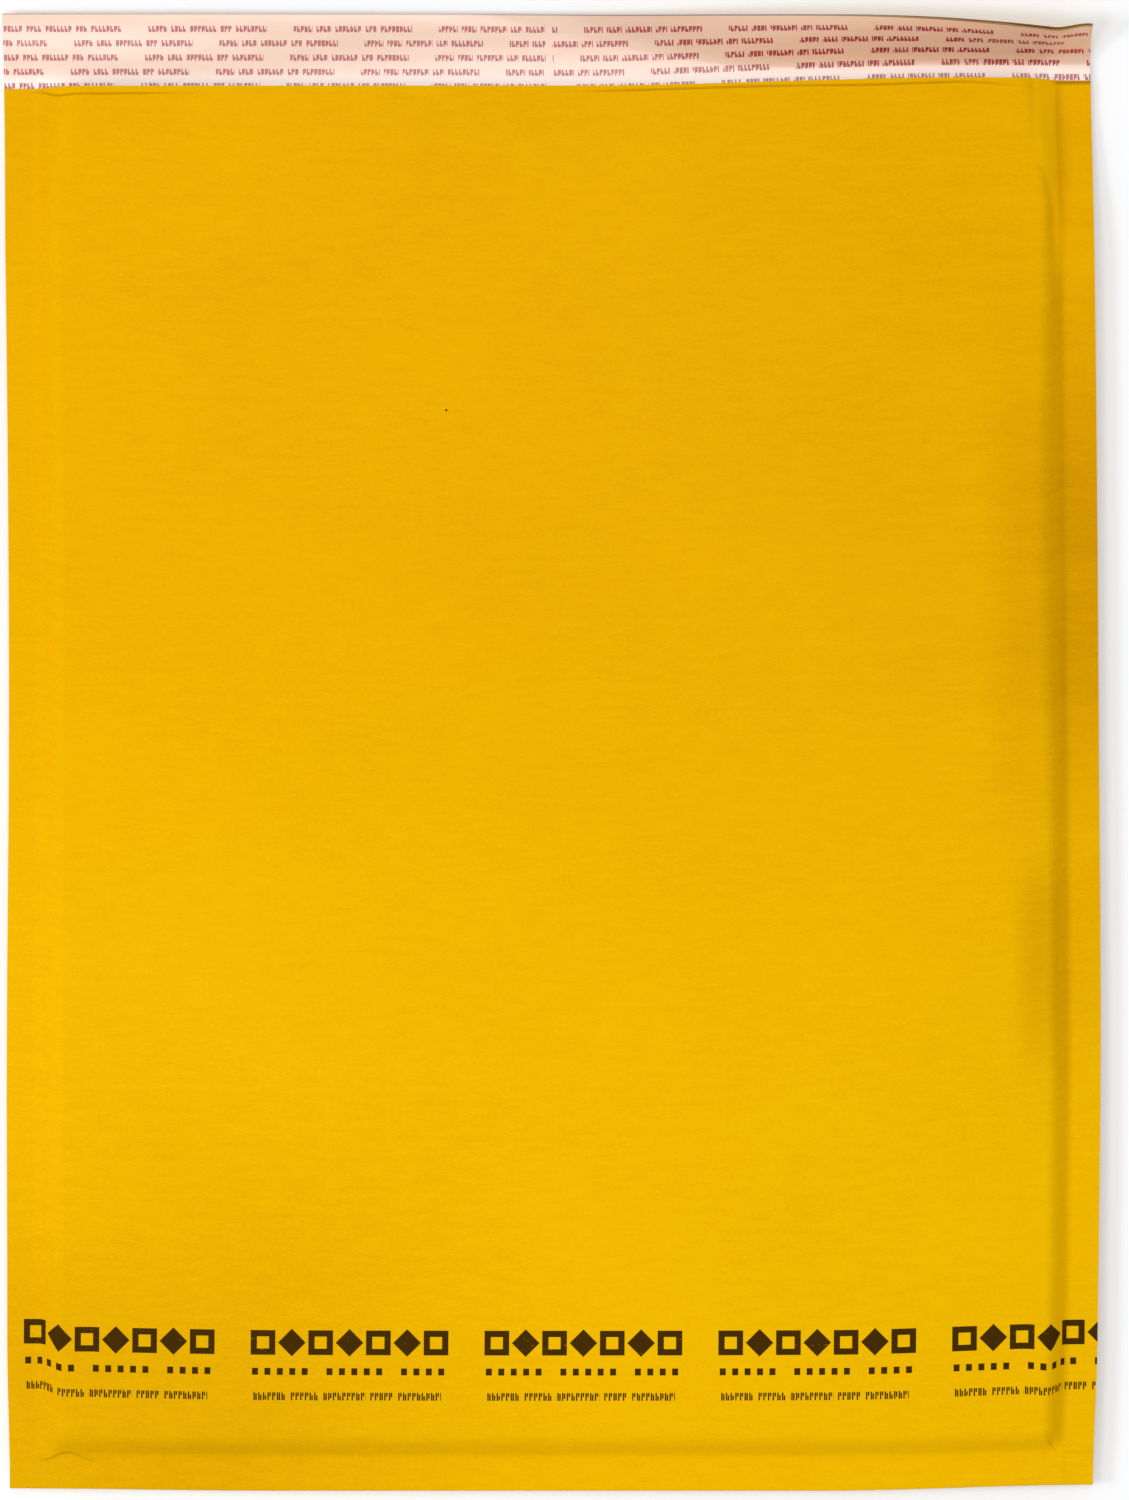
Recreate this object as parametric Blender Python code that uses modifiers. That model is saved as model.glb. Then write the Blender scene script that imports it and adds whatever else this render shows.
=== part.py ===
"""A padded mailing envelope, empty, lying on its back with the flap open.

The outer wrap is one sheet of paper, folded along the bottom and sealed up both sides. Its back
leaf runs on past the mouth and is the flap. Inside the wrap is a bag of air-cell film, full
thickness over the two faces and pressed flat in the seals. A band of adhesive on the flap is
covered by a release liner.

+Y runs from the bottom fold to the flap, +X across the envelope and +Z up from the table. The
origin is on the table, under the middle of the sheet's length and width.
"""

import math

import bmesh
import bpy
from mathutils import Vector

# Driving dimensions, in metres
WIDTH = 0.3625
BODY_LENGTH = 0.467
FLAP_LENGTH = 0.0243
PAPER = 0.0004
CLEARANCE = 0.0003

# The lining: crushed film in the seals, air cells over the faces, and the pocket between them
FILM = 0.0005
CELL_HEIGHT = 0.0032
CROWN = 0.0012
POCKET_GAP = 0.0047
POCKET_PINCH = 0.0003
POCKET_INSET = 0.0015

# The sealed margins, and the slopes that rise from them to the full thickness
SIDE_SEAL = 0.0105
BOTTOM_BAND = 0.0115
BAND_STEP = 0.002
FOLD_GAP = 0.0003
LEFT_SLOPE = 0.009
RIGHT_SLOPE = 0.0075
SLOPE_WIDENING = 0.0030
WIDENING_CENTRE = 0.075
WIDENING_REACH = 0.070
SLOPE_ROUNDING = 1.5
MOUTH_SPREAD = 0.006
MOUTH_SPREAD_REACH = 0.040
BOTTOM_SLOPE = 0.008

# The mouth: the film stops short of the front leaf's edge, and the release liner tucks under it
LIP = 0.0035
LIP_RUN = 0.006
MOUTH_DROP = 0.0008
MOUTH_DROP_RUN = 0.020
MARGIN_DROP = 0.0050
MARGIN_DROP_RUN = 0.060
TUCK = 0.0025

# The adhesive and its release liner
ADHESIVE = 0.0003
ADHESIVE_INSET = 0.0015
LINER = 0.0003
LINER_OVERHANG = 0.0008

# How the cut edges lie: the sheet bows to one side, swells below its middle, is drawn in at the
# bottom corners, and its right-hand side is drawn up
BOW_CENTRE = -0.030
BOW_REACH = 0.250
BOW_MIDDLE = 0.0011
BOW_ABOVE = 0.0022
BOW_BELOW = 0.0012
LEFT_CORNER_LIFT = 0.0008
RIGHT_CORNER_LIFT = 0.0020
CORNER_REACH = 0.060
SWELL = 0.0008
SWELL_CENTRE = -0.100
SWELL_REACH = 0.080
CORNER_PULL = 0.0010
PULL_REACH = 0.050
MOUTH_RISE = 0.0028
MOUTH_RISE_START = 0.010
MOUTH_RISE_RUN = 0.130
MOUTH_RISE_REACH = 0.060

# The flap: its ends level out from the seals, it waves gently, and its right corner curls up
FLAP_TILT = math.radians(4.0)
FLAP_WAVE = 0.0010
FLAP_WAVE_PITCH = 0.240
FLAP_EDGE_POWER = 5
CURL_START = -0.035
CURL_REACH = 0.115
CURL_NEAR = 0.0055
CURL_ANGLE = math.radians(40.0)
CURL_PLACE = 0.100
CURL_GROWTH = 0.120
CURL_RUN = 0.0045
CURL_RELIEF = math.radians(14.0)
CURL_RELIEF_START = 0.168
CURL_STEPS = 12

# Soft dents in the front: middle x and y, half length, half width, turn and depth
DENTS = (
    (-0.126, 0.030, 0.034, 0.012, math.radians(18.0), 0.0007),
    (-0.060, 0.085, 0.060, 0.022, math.radians(-30.0), 0.0007),
    (0.055, 0.020, 0.070, 0.020, math.radians(-38.0), 0.0006),
    (0.108, 0.212, 0.022, 0.006, math.radians(-14.0), 0.0006),
    (0.125, 0.048, 0.045, 0.007, math.radians(2.0), 0.0005),
)

# Divisions of the surfaces
SEAL_STEPS = 2
SLOPE_STEPS = 5
FACE_COLUMNS = 11
FACE_ROWS = 17
MOUTH_ROWS = 5
FOLD_STEPS = 5
FLAP_ROWS = 12
NORMAL_STEP = 1e-4

# Values that follow from the driving dimensions
HALF_WIDTH = WIDTH / 2
FOLD_Y = -(BODY_LENGTH + FLAP_LENGTH) / 2
MOUTH_Y = FOLD_Y + BODY_LENGTH
FILM_EDGE_Y = FOLD_Y + BOTTOM_BAND
LINING_TOP_Y = MOUTH_Y - LIP
SEAL_LEVEL = PAPER + CLEARANCE + CELL_HEIGHT + POCKET_GAP / 2
FULL_HALF = SEAL_LEVEL - PAPER / 2
SEAL_HALF = FILM / 2 + CLEARANCE + PAPER / 2
BAND_HALF = FOLD_GAP / 2 + PAPER / 2
LINING_OFFSET = PAPER / 2 + CLEARANCE
ADHESIVE_LOW = PAPER / 2 + CLEARANCE
ADHESIVE_HIGH = ADHESIVE_LOW + ADHESIVE
LINER_LOW = ADHESIVE_HIGH + CLEARANCE
LINER_HIGH = LINER_LOW + LINER
STRIP_STACK = LINER_HIGH + CLEARANCE + PAPER / 2

MATERIALS = {
    "paper": ((0.846, 0.434, 0.004), 0.72, 0.0),
    "film": ((0.86, 0.88, 0.88), 0.18, 0.0),
    "adhesive": ((0.78, 0.72, 0.55), 0.25, 0.0),
    "liner": ((0.905, 0.71, 0.59), 0.42, 0.0),
}


def smooth(t):
    """Rises from 0 to 1 as t does, level at both ends."""
    t = min(max(t, 0.0), 1.0)
    return t * t * (3.0 - 2.0 * t)


def spaced(marks, counts):
    """The marks, with each stretch between two of them divided evenly into its count."""
    places = [marks[0]]
    for start, end, count in zip(marks, marks[1:], counts):
        places += [start + (end - start) * (k + 1) / count for k in range(count)]
    return places


def risen(t):
    """A slope's rise, steepest near the seal and rounding over into the face."""
    return 1.0 - (1.0 - smooth(t)) ** SLOPE_ROUNDING


def right_slope(y):
    """Run of the right-hand slope, which widens above the envelope's middle."""
    return RIGHT_SLOPE + SLOPE_WIDENING * math.exp(-(((y - WIDENING_CENTRE) / WIDENING_REACH) ** 2))


def mouth_spread(y):
    """How much wider both side slopes are near the mouth."""
    return MOUTH_SPREAD * smooth((y - MOUTH_Y + MOUTH_SPREAD_REACH) / MOUTH_SPREAD_REACH)


def margin_drop(y):
    """How far the side margins sink towards the mouth."""
    return MARGIN_DROP * smooth((y - MOUTH_Y + MARGIN_DROP_RUN) / MARGIN_DROP_RUN)


def fullness(x, y, inset=0.0):
    """0 in the sealed margins and 1 over the padded face."""
    left = x + HALF_WIDTH - SIDE_SEAL - inset
    right = HALF_WIDTH - SIDE_SEAL - inset - x
    bottom = y - FILM_EDGE_Y - inset
    wider = mouth_spread(y)
    across = risen(left / (LEFT_SLOPE + wider)) * risen(right / (right_slope(y) + wider))
    return across * risen(bottom / BOTTOM_SLOPE)


def dents(x, y):
    """Depth of the soft dents in the front face."""
    depth = 0.0
    for mid_x, mid_y, long, wide, turn, deep in DENTS:
        across, along = x - mid_x, y - mid_y
        run = (across * math.cos(turn) + along * math.sin(turn)) / long
        side = (along * math.cos(turn) - across * math.sin(turn)) / wide
        depth += deep * math.exp(-(run * run + side * side))
    return depth


def margin_half(y):
    """Half the distance between the leaves' middles in the sealed margin, at this height up it."""
    step = smooth((FILM_EDGE_Y - y) / BAND_STEP)
    return SEAL_HALF + (BAND_HALF - SEAL_HALF) * step


def front_level(x, y):
    """Height of the middle of the front leaf."""
    low = margin_half(y)
    spread = smooth((y - (LINING_TOP_Y - LIP_RUN)) / LIP_RUN)
    low += (STRIP_STACK - 2 * SEAL_HALF) * spread
    dome = 1.0 - (x / HALF_WIDTH) ** 2
    drop = MOUTH_DROP * smooth((y - (MOUTH_Y - MOUTH_DROP_RUN)) / MOUTH_DROP_RUN)
    high = FULL_HALF + CROWN * dome - dents(x, y) - drop
    full = fullness(x, y)
    return SEAL_LEVEL + low + (high - low) * full - margin_drop(y) * (1.0 - full)


def back_level(x, y):
    """Height of the middle of the back leaf, which lies flat on the table between its slopes."""
    low = margin_half(y)
    full = fullness(x, y)
    return SEAL_LEVEL - low - (FULL_HALF - low) * full - margin_drop(y) * (1.0 - full)


def sideways(x, y):
    """Shift of a point across the sheet, from its bow, its swell and its drawn-in corners."""
    t = (y - BOW_CENTRE) / BOW_REACH
    bow = BOW_MIDDLE - (BOW_ABOVE if t > 0 else BOW_BELOW) * t * t
    swell = SWELL * math.exp(-(((y - SWELL_CENTRE) / SWELL_REACH) ** 2))
    pull = CORNER_PULL * (1.0 - smooth((y - FOLD_Y) / PULL_REACH))
    return bow + (swell - pull) * x / HALF_WIDTH


def corner_lift(x, y):
    """How far the bottom corners are drawn up."""
    outward = smooth((abs(x) / HALF_WIDTH - 0.5) / 0.5)
    lift = RIGHT_CORNER_LIFT if x > 0 else LEFT_CORNER_LIFT
    return lift * outward * (1.0 - smooth((y - FOLD_Y) / CORNER_REACH))


def mouth_rise(x, y):
    """How far both leaves are drawn up at the mouth, towards the right."""
    along = smooth((x - MOUTH_RISE_START) / MOUTH_RISE_RUN)
    return MOUTH_RISE * along * smooth((y - MOUTH_Y + MOUTH_RISE_REACH) / MOUTH_RISE_REACH)


def upward(x, y):
    """Shift of a point up the sheet."""
    return mouth_rise(x, y) + corner_lift(x, y)


def front_point(x, y):
    """Middle of the front leaf."""
    return Vector((x + sideways(x, y), y + upward(x, y), front_level(x, y)))


def curl(x, s):
    """Shift of a point on the flap, s past the mouth, as its right-hand part rolls up."""
    crease = FLAP_LENGTH + (CURL_NEAR - FLAP_LENGTH) * smooth((x - CURL_START) / CURL_REACH)
    distance = max(s - crease, 0.0)
    step = distance / CURL_STEPS
    relief = smooth((x - CURL_RELIEF_START) / (HALF_WIDTH - CURL_RELIEF_START))
    full = CURL_ANGLE * math.exp((x - CURL_PLACE) / CURL_GROWTH) - CURL_RELIEF * relief
    forward = up = 0.0
    for k in range(CURL_STEPS):
        t = (k + 0.5) * step
        angle = full * (1.0 - math.exp(-t / CURL_RUN))
        forward += step * math.cos(angle)
        up += step * math.sin(angle)
    return Vector((0.0, forward - distance, up))


def back_point(x, s):
    """Middle of the back leaf and flap, at s past the mouth. The leaf has negative s."""
    if s <= 0.0:
        y = MOUTH_Y + s
        return Vector((x + sideways(x, y), y + upward(x, y), back_level(x, y)))
    share = smooth(s / FLAP_LENGTH)
    seated = back_level(x, MOUTH_Y)
    edge = SEAL_LEVEL - MARGIN_DROP - SEAL_HALF - PAPER / 2
    spread = PAPER / 2 + edge * abs(x / HALF_WIDTH) ** FLAP_EDGE_POWER
    wave = FLAP_WAVE * (1.0 - math.cos(2 * math.pi * x / FLAP_WAVE_PITCH)) / 2
    level = seated + (spread - seated) * share + (wave + math.tan(FLAP_TILT) * s) * share
    out = MOUTH_Y + s
    place = Vector((x + sideways(x, out), out + mouth_rise(x, MOUTH_Y), level))
    return place + curl(x, s)


def raised(point, x, along, height):
    """A point this far off the surface that point describes, measured square to it."""
    here = point(x, along)
    across = point(x + NORMAL_STEP, along) - point(x - NORMAL_STEP, along)
    up = point(x, along + NORMAL_STEP) - point(x, along - NORMAL_STEP)
    return here + across.cross(up).normalized() * height


def columns():
    """Places across the sheet, closer together on the slopes."""
    left = -HALF_WIDTH + SIDE_SEAL
    right = HALF_WIDTH - SIDE_SEAL
    rising = [left, left + LEFT_SLOPE, left + LEFT_SLOPE + MOUTH_SPREAD]
    falling = [right - RIGHT_SLOPE - MOUTH_SPREAD, right - RIGHT_SLOPE, right]
    steps = [SEAL_STEPS, SLOPE_STEPS, 1, FACE_COLUMNS, 1, SLOPE_STEPS, SEAL_STEPS]
    return spaced([-HALF_WIDTH] + rising + falling + [HALF_WIDTH], steps)


def lining_rows():
    """Places along the lining, from its bottom edge to the end below the mouth."""
    slope_top = FILM_EDGE_Y + BOTTOM_SLOPE
    marks = [FILM_EDGE_Y, slope_top, MOUTH_Y - MOUTH_SPREAD_REACH, LINING_TOP_Y - LIP_RUN]
    return spaced(marks + [LINING_TOP_Y], [SLOPE_STEPS, FACE_ROWS, MOUTH_ROWS, SEAL_STEPS])


def leaf_rows():
    """Places along a leaf, from the start of the bottom fold to the mouth."""
    margin = [FOLD_Y + BAND_HALF, FILM_EDGE_Y - BAND_STEP]
    return margin + lining_rows() + [MOUTH_Y]


def in_collection(obj, collection):
    for other in list(obj.users_collection):
        other.objects.unlink(obj)
    collection.objects.link(obj)


def material(name):
    colour, roughness, metallic = MATERIALS[name]
    made = bpy.data.materials.get(name) or bpy.data.materials.new(name)
    made.use_nodes = True
    shader = made.node_tree.nodes["Principled BSDF"]
    shader.inputs["Base Color"].default_value = (*colour, 1.0)
    shader.inputs["Roughness"].default_value = roughness
    shader.inputs["Metallic"].default_value = metallic
    return made


def grid_mesh(name, across, along):
    """A flat grid of a blank, with the number of its column and row as each vertex's x and y."""
    shape = bmesh.new()
    bmesh.ops.create_grid(
        shape, x_segments=len(across) - 1, y_segments=len(along) - 1, size=0.5
    )
    for vertex in shape.verts:
        vertex.co.x = round((vertex.co.x + 0.5) * (len(across) - 1))
        vertex.co.y = round((vertex.co.y + 0.5) * (len(along) - 1))
    return shape


def finished(shape, name, collection, finish):
    """The object made from a bmesh, smooth but for its sharp edges."""
    mesh = bpy.data.meshes.new(name)
    shape.to_mesh(mesh)
    shape.free()
    mesh.shade_smooth()
    mesh.set_sharp_from_angle(angle=math.radians(40.0))
    mesh.materials.append(material(finish))
    obj = bpy.data.objects.new(name, mesh)
    collection.objects.link(obj)
    return obj


def block(name, across, along, lower, upper, collection, finish):
    """A closed solid between two surfaces, each a function of the place across and along."""
    shape = grid_mesh(name, across, along)
    numbers = {vertex: (int(vertex.co.x), int(vertex.co.y)) for vertex in shape.verts}
    made = bmesh.ops.extrude_face_region(shape, geom=list(shape.faces))
    top = [item for item in made["geom"] if isinstance(item, bmesh.types.BMVert)]
    for vertex in top:
        numbers[vertex] = (int(vertex.co.x), int(vertex.co.y))
    for vertex, (i, j) in numbers.items():
        surface = upper if vertex in top else lower
        vertex.co = surface(across[i], along[j])
    bmesh.ops.recalc_face_normals(shape, faces=list(shape.faces))
    return finished(shape, name, collection, finish)


def wrap_rows():
    """The sheet from the front leaf's edge, round the fold, up the back leaf to the flap's edge."""
    rows = [lambda x, y=y: front_point(x, y) for y in reversed(leaf_rows())]
    for k in range(1, FOLD_STEPS):
        turn = math.pi / 2 - math.pi * k / FOLD_STEPS
        rows.append(lambda x, turn=turn: fold_point(x, turn))
    rows += [lambda x, y=y: back_point(x, y - MOUTH_Y) for y in leaf_rows()]
    flap = spaced([0.0, FLAP_LENGTH], [FLAP_ROWS])[1:]
    rows += [lambda x, s=s: back_point(x, s) for s in flap]
    return rows


def fold_point(x, turn):
    """A point round the bottom fold, from a quarter turn above the middle to one below it."""
    y = FOLD_Y + BAND_HALF
    out = BAND_HALF * math.cos(turn)
    return Vector(
        (x + sideways(x, y), y + upward(x, y) - out, SEAL_LEVEL + BAND_HALF * math.sin(turn))
    )


def paper_wrap(collection):
    """The folded sheet: an open surface given the paper's thickness."""
    across = columns()
    rows = wrap_rows()
    shape = grid_mesh("paper_wrap", across, rows)
    for vertex in shape.verts:
        vertex.co = rows[int(vertex.co.y)](across[int(vertex.co.x)])
    obj = finished(shape, "paper_wrap", collection, "paper")
    thickness = obj.modifiers.new("thickness", "SOLIDIFY")
    thickness.thickness = PAPER
    thickness.offset = 0.0
    thickness.use_even_offset = True
    return obj


def pocket_half(x, y):
    """Half the height of the pocket, pinched at its edges."""
    pinch = POCKET_PINCH / 2
    return pinch + (POCKET_GAP / 2 - pinch) * fullness(x, y, POCKET_INSET)


def pocket_level(x, y):
    """Height of the middle of the pocket."""
    return SEAL_LEVEL - margin_drop(y) * (1.0 - fullness(x, y, POCKET_INSET))


def pocket(collection):
    """The space inside the lining, running out past the mouth, as a cutter."""
    side = HALF_WIDTH - SIDE_SEAL - POCKET_INSET
    bottom = FILM_EDGE_Y + POCKET_INSET
    marks = [-side, -side + LEFT_SLOPE, side - RIGHT_SLOPE, side]
    across = spaced(marks, [SLOPE_STEPS, FACE_COLUMNS, SLOPE_STEPS])
    along = spaced([bottom, bottom + BOTTOM_SLOPE, MOUTH_Y + LIP], [SLOPE_STEPS, FACE_ROWS])

    def face(sign):
        return lambda x, y: Vector(
            (x + sideways(x, y), y + upward(x, y), pocket_level(x, y) + sign * pocket_half(x, y))
        )

    cutter = block("pocket", across, along, face(-1), face(1), collection, "film")
    cutter.hide_render = True
    cutter.display_type = "WIRE"
    return cutter


def air_cell_lining(collection, cutters):
    """The bag of air-cell film: a pad that follows the wrap's inner faces, less the pocket."""
    pad = block(
        "air_cell_lining",
        columns(),
        lining_rows(),
        lambda x, y: raised(back_point, x, y - MOUTH_Y, LINING_OFFSET),
        lambda x, y: raised(front_point, x, y, -LINING_OFFSET),
        collection,
        "film",
    )
    cut = pad.modifiers.new("pocket", "BOOLEAN")
    cut.operation = "DIFFERENCE"
    cut.object = pocket(cutters)
    return pad


def strip(name, low, high, inset, end, collection, finish):
    """A strip lying on the flap and tucked under the front leaf's edge."""
    ends = [-TUCK + inset, 0.0]
    along = ends + spaced([0.0, FLAP_LENGTH], [FLAP_ROWS])[1:-1] + [end]
    side = HALF_WIDTH - inset
    across = [min(max(x, -side), side) for x in columns()]
    return block(
        name,
        across,
        along,
        lambda x, s: raised(back_point, x, s, low),
        lambda x, s: raised(back_point, x, s, high),
        collection,
        finish,
    )


def main():
    for obj in list(bpy.data.objects):
        bpy.data.objects.remove(obj, do_unlink=True)
    scene = bpy.context.scene
    envelope = bpy.data.collections.new("padded_envelope")
    cutters = bpy.data.collections.new("cutters")
    scene.collection.children.link(envelope)
    scene.collection.children.link(cutters)
    paper_wrap(envelope)
    air_cell_lining(envelope, cutters)
    end = FLAP_LENGTH - ADHESIVE_INSET
    strip("adhesive_strip", ADHESIVE_LOW, ADHESIVE_HIGH, ADHESIVE_INSET, end, envelope, "adhesive")
    end = FLAP_LENGTH + LINER_OVERHANG
    strip("release_liner", LINER_LOW, LINER_HIGH, 0.0, end, envelope, "liner")


main()
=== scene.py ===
"""Dresses the padded envelope: golden paper, air-cell film and a printed release liner.

The sheets are made as flat grids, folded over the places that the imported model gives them, and
given their thickness. Each keeps its flat sheet's own lengths as its UV map, in metres, so that
what is printed on it turns with the folds.
"""

import math

import bpy
import mathutils
import numpy as np
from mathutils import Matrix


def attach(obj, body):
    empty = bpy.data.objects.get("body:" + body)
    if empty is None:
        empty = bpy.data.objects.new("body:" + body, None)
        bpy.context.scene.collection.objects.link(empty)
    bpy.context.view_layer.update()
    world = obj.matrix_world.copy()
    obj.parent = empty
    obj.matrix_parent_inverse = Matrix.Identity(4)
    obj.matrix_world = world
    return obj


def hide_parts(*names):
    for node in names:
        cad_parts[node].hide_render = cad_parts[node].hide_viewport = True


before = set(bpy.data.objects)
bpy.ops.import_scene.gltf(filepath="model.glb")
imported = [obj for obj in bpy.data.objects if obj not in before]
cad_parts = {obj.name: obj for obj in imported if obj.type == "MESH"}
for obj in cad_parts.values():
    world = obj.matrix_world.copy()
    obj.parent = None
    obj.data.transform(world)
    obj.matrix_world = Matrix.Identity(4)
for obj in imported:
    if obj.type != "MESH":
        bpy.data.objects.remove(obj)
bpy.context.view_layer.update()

bl_info = {
    "name": "Padded envelope",
    "version": (1, 0, 0),
    "blender": (4, 5, 0),
    "location": "3D View > Sidebar > Envelope",
    "description": "Models a padded mailing envelope with its flap open",
    "category": "Object",
}

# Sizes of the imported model, in metres
WIDTH = 0.3625
BODY_LENGTH = 0.467
FLAP_LENGTH = 0.0243
PAPER = 0.0004
CLEARANCE = 0.0003
FILM = 0.0005
CELL_HEIGHT = 0.0032
CROWN = 0.0012
POCKET_GAP = 0.0047
POCKET_PINCH = 0.0003
POCKET_INSET = 0.0015
SIDE_SEAL = 0.0105
BOTTOM_BAND = 0.0115
BAND_STEP = 0.002
FOLD_GAP = 0.0003
LEFT_SLOPE = 0.009
RIGHT_SLOPE = 0.0075
SLOPE_WIDENING = 0.0030
WIDENING_CENTRE = 0.075
WIDENING_REACH = 0.070
SLOPE_ROUNDING = 1.5
FOOT_CRISPNESS = 0.5
MOUTH_SPREAD = 0.006
MOUTH_SPREAD_REACH = 0.040
BOTTOM_SLOPE = 0.008
LIP = 0.0035
LIP_RUN = 0.006
MOUTH_DROP = 0.0008
MOUTH_DROP_RUN = 0.020
MARGIN_DROP = 0.0050
MARGIN_DROP_RUN = 0.060
TUCK = 0.0025
ADHESIVE = 0.0003
ADHESIVE_INSET = 0.0015
LINER = 0.0003
LINER_OVERHANG = 0.0008
BOW_CENTRE = -0.030
BOW_REACH = 0.250
BOW_MIDDLE = 0.0011
BOW_ABOVE = 0.0022
BOW_BELOW = 0.0012
LEFT_CORNER_LIFT = 0.0008
RIGHT_CORNER_LIFT = 0.0020
CORNER_REACH = 0.060
SWELL = 0.0008
SWELL_CENTRE = -0.100
SWELL_REACH = 0.080
CORNER_PULL = 0.0010
PULL_REACH = 0.050
MOUTH_RISE = 0.0028
MOUTH_RISE_START = 0.010
MOUTH_RISE_RUN = 0.130
MOUTH_RISE_REACH = 0.060
FLAP_TILT = math.radians(4.0)
FLAP_WAVE = 0.0010
FLAP_WAVE_PITCH = 0.240
FLAP_EDGE_POWER = 5
CURL_START = -0.035
CURL_REACH = 0.115
CURL_NEAR = 0.0055
CURL_ANGLE = math.radians(40.0)
CURL_PLACE = 0.100
CURL_GROWTH = 0.120
CURL_RUN = 0.0045
CURL_RELIEF = math.radians(14.0)
CURL_RELIEF_START = 0.168
CURL_STEPS = 12

HALF_WIDTH = WIDTH / 2
FOLD_Y = -(BODY_LENGTH + FLAP_LENGTH) / 2
MOUTH_Y = FOLD_Y + BODY_LENGTH
FILM_EDGE_Y = FOLD_Y + BOTTOM_BAND
LINING_TOP_Y = MOUTH_Y - LIP
SEAL_LEVEL = PAPER + CLEARANCE + CELL_HEIGHT + POCKET_GAP / 2
FULL_HALF = SEAL_LEVEL - PAPER / 2
SEAL_HALF = FILM / 2 + CLEARANCE + PAPER / 2
BAND_HALF = FOLD_GAP / 2 + PAPER / 2
ADHESIVE_LOW = PAPER / 2 + CLEARANCE
ADHESIVE_HIGH = ADHESIVE_LOW + ADHESIVE
LINER_LOW = ADHESIVE_HIGH + CLEARANCE
LINER_HIGH = LINER_LOW + LINER
STRIP_STACK = LINER_HIGH + CLEARANCE + PAPER / 2
NORMAL_STEP = 1e-4

# Steps of the sheets' grids, in metres
COLUMN_STEPS = (0.0021, 0.0009, 0.0030, 0.0020, 0.0008, 0.0018)
CREASED_SIDE = 0.042
STEEP_SIDE = 0.012
MOUTH_SIDE = 0.012
FOLD_ROW_STEP = 0.0024
SLOPE_ROW_STEP = 0.0010
FRONT_ROW_STEP = 0.0024
BACK_ROW_STEP = 0.0080
MOUTH_ROW_STEP = 0.0009
FLAP_ROW_STEP = 0.0015
FOLD_STEPS = 6
LINER_ROWS = 34
FILM_FINE_STEP = 0.0012
FILM_STEP = 0.008

# The film and its air cells: shares of a cell's height and radius, and lengths in metres
FILM_INSET = 0.002
FILM_FINE_SIDES = (-0.16, 0.155)
FILM_FINE_END = 0.011
FILM_START = 0.001
POCKET_START = 0.0012
CELL_SIDES = 10
CELL_SHOULDER = 0.7
SHOULDER_SHARE = 0.9
TOP_SHARE = 0.72
CELL_MARGIN = 0.003
CELL_INSET = 0.0005
CELL_GAP = 0.0001

# What is printed on the paper, in metres: a span has a start and an end
GROUP_PITCH = 0.0776
GROUP_START = 0.1784
GROUP_LENGTH = 0.067
GROUP_FOOT = 0.0478
GROUP_HEIGHT = 0.0093
GROUP_SINK = 0.0014
GROUP_SHAPES = 7
SQUARE_HALF = 0.0041
SQUARE_HOLE = 0.0020
DIAMOND_HALF = 0.0046
DOT_START = 0.0012
DOT_PITCH = 0.00412
DOT_WIDTH = 0.0020
DOT_FOOT = 0.0417
DOT_HEAD = 0.0440
DOT_SPANS = ((0.0, 0.0205), (0.0245, 0.0455), (0.0495, 0.067))
BAR_FOOT = 0.0333
BAR_PITCH = 0.00155
BAR_HEIGHT = 0.0026
BAR_SPANS = ((0.0015, 0.0125), (0.0140, 0.0230), (0.0245, 0.0390), (0.0405, 0.0480), (0.0495, 0.064))

# Strokes of the small marks: their width in metres, and their places as shares of the pitch
STROKE = 0.0005
FIRST_STROKE = 0.27
SECOND_STROKE = 0.68

# What is printed on the liner, in metres
ROW_PITCH = 0.00475
ROW_START = 0.0028
ROW_FOOT = 0.0013
ROW_SHIFT = 0.0242
ROW_DRIFT = 0.0007
PRINT_START = 0.181
PRINT_FOOT = 0.0030
PHRASE = 0.0484
PHRASE_SPANS = (
    (0.0, 0.0063),
    (0.0076, 0.0126),
    (0.0139, 0.0227),
    (0.0240, 0.0278),
    (0.0290, 0.0395),
)
TICK_PITCH = 0.00127
TICK_HEIGHT = 0.0021
BARE_PLACE = 0.0008
BARE_HALF = 0.0012

# Tones of the paper: shares of red and green in its deep tone, its colour and its pale tone, how
# strong each pattern is, how dark the painted shade in the crease below the mouth is, and how
# often the air cells show through it
TONE_SHARES = ((0.76, 0.68), (1.0, 1.0), (1.20, 1.26))
FIBRE_TONE = 0.42
STREAK_TONE = 0.26
CLOUD_TONE = 0.16
CREASE_SHADE = 0.30
CELL_TURNS = 2 * math.pi / 0.0105

# The picture's middle and height, the floor and the lamps, in metres: a lamp has a name, a place
# and a width
FRAME_X = 0.0046
FRAME_Y = 0.0008
FRAME_HEIGHT = 0.4995
SENSOR_MM = 24.0
VIEW_END = 50.0
FLOOR_SIZE = 6.0
FLOOR_LEVEL = -0.0002
FLOOR_COLOUR = (0.84, 0.85, 0.866, 1.0)
FLOOR_GLOW = 0.20
WHITE = (1.0, 1.0, 1.0, 1.0)
LAMPS = (
    ("slanting", (-1.40, -0.20, 1.40), 0.50),
    ("near", (-0.38, -0.16, 1.20), 0.40),
    ("overhead", (0.0, 0.45, 2.30), 0.80),
)

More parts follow.
